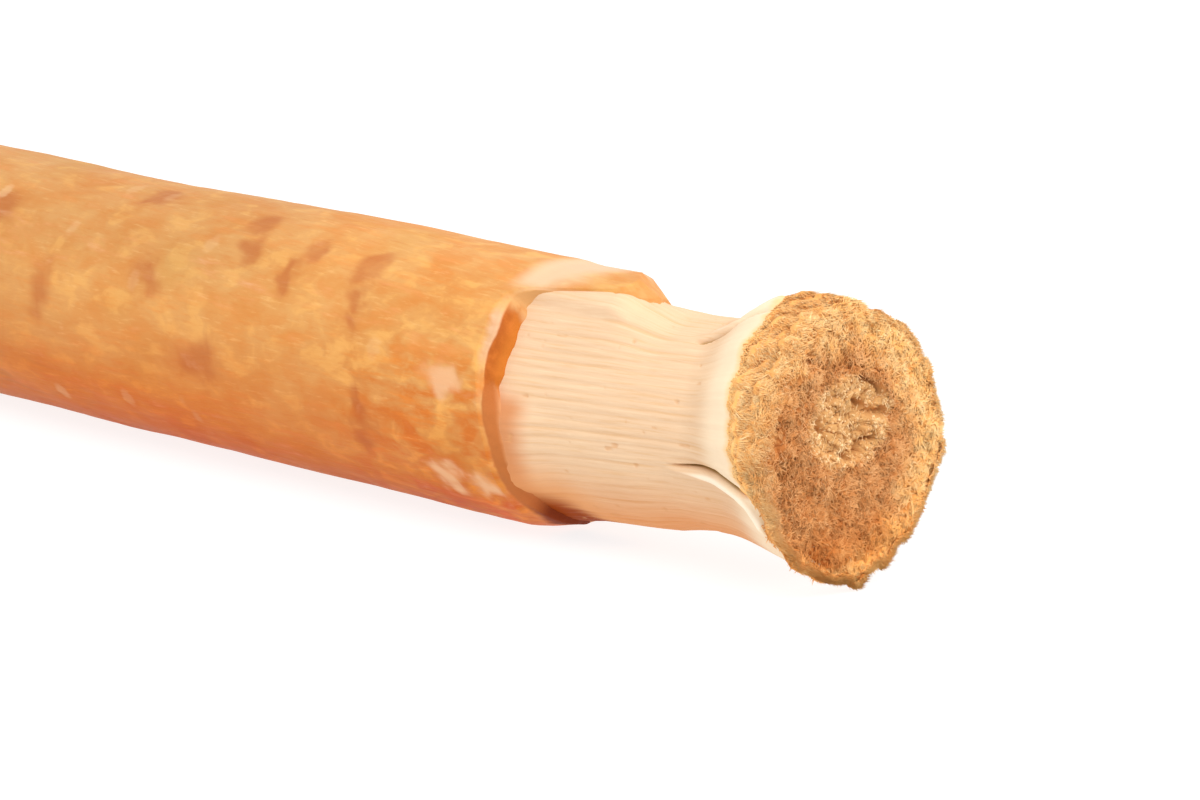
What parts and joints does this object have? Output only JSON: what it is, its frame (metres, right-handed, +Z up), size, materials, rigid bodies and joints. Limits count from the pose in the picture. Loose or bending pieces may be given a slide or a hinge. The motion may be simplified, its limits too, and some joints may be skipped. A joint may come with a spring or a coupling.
{
  "type": "miswak stick",
  "caption": "Chewing stick for cleaning teeth: a gently bowed twig with its bark on, peeled to a grooved neck that opens into a round brush of its own fibres",
  "frame": {"origin": "on the surface the stick lies on, under the middle of its box", "axes": "+X along the stick towards the brush head; +Z up; the stick's ends bend gently towards +Y; the side the picture shows faces -Y"},
  "size_m": [0.1506, 0.0146, 0.0109],
  "materials": {
    "bark": "satin tan-orange bark, with pale cream wood on the neck and ochre bristle on the brush head"
  },
  "bodies": {
    "root": {"miswak_stick": "bark"}
  },
  "joints": []
}
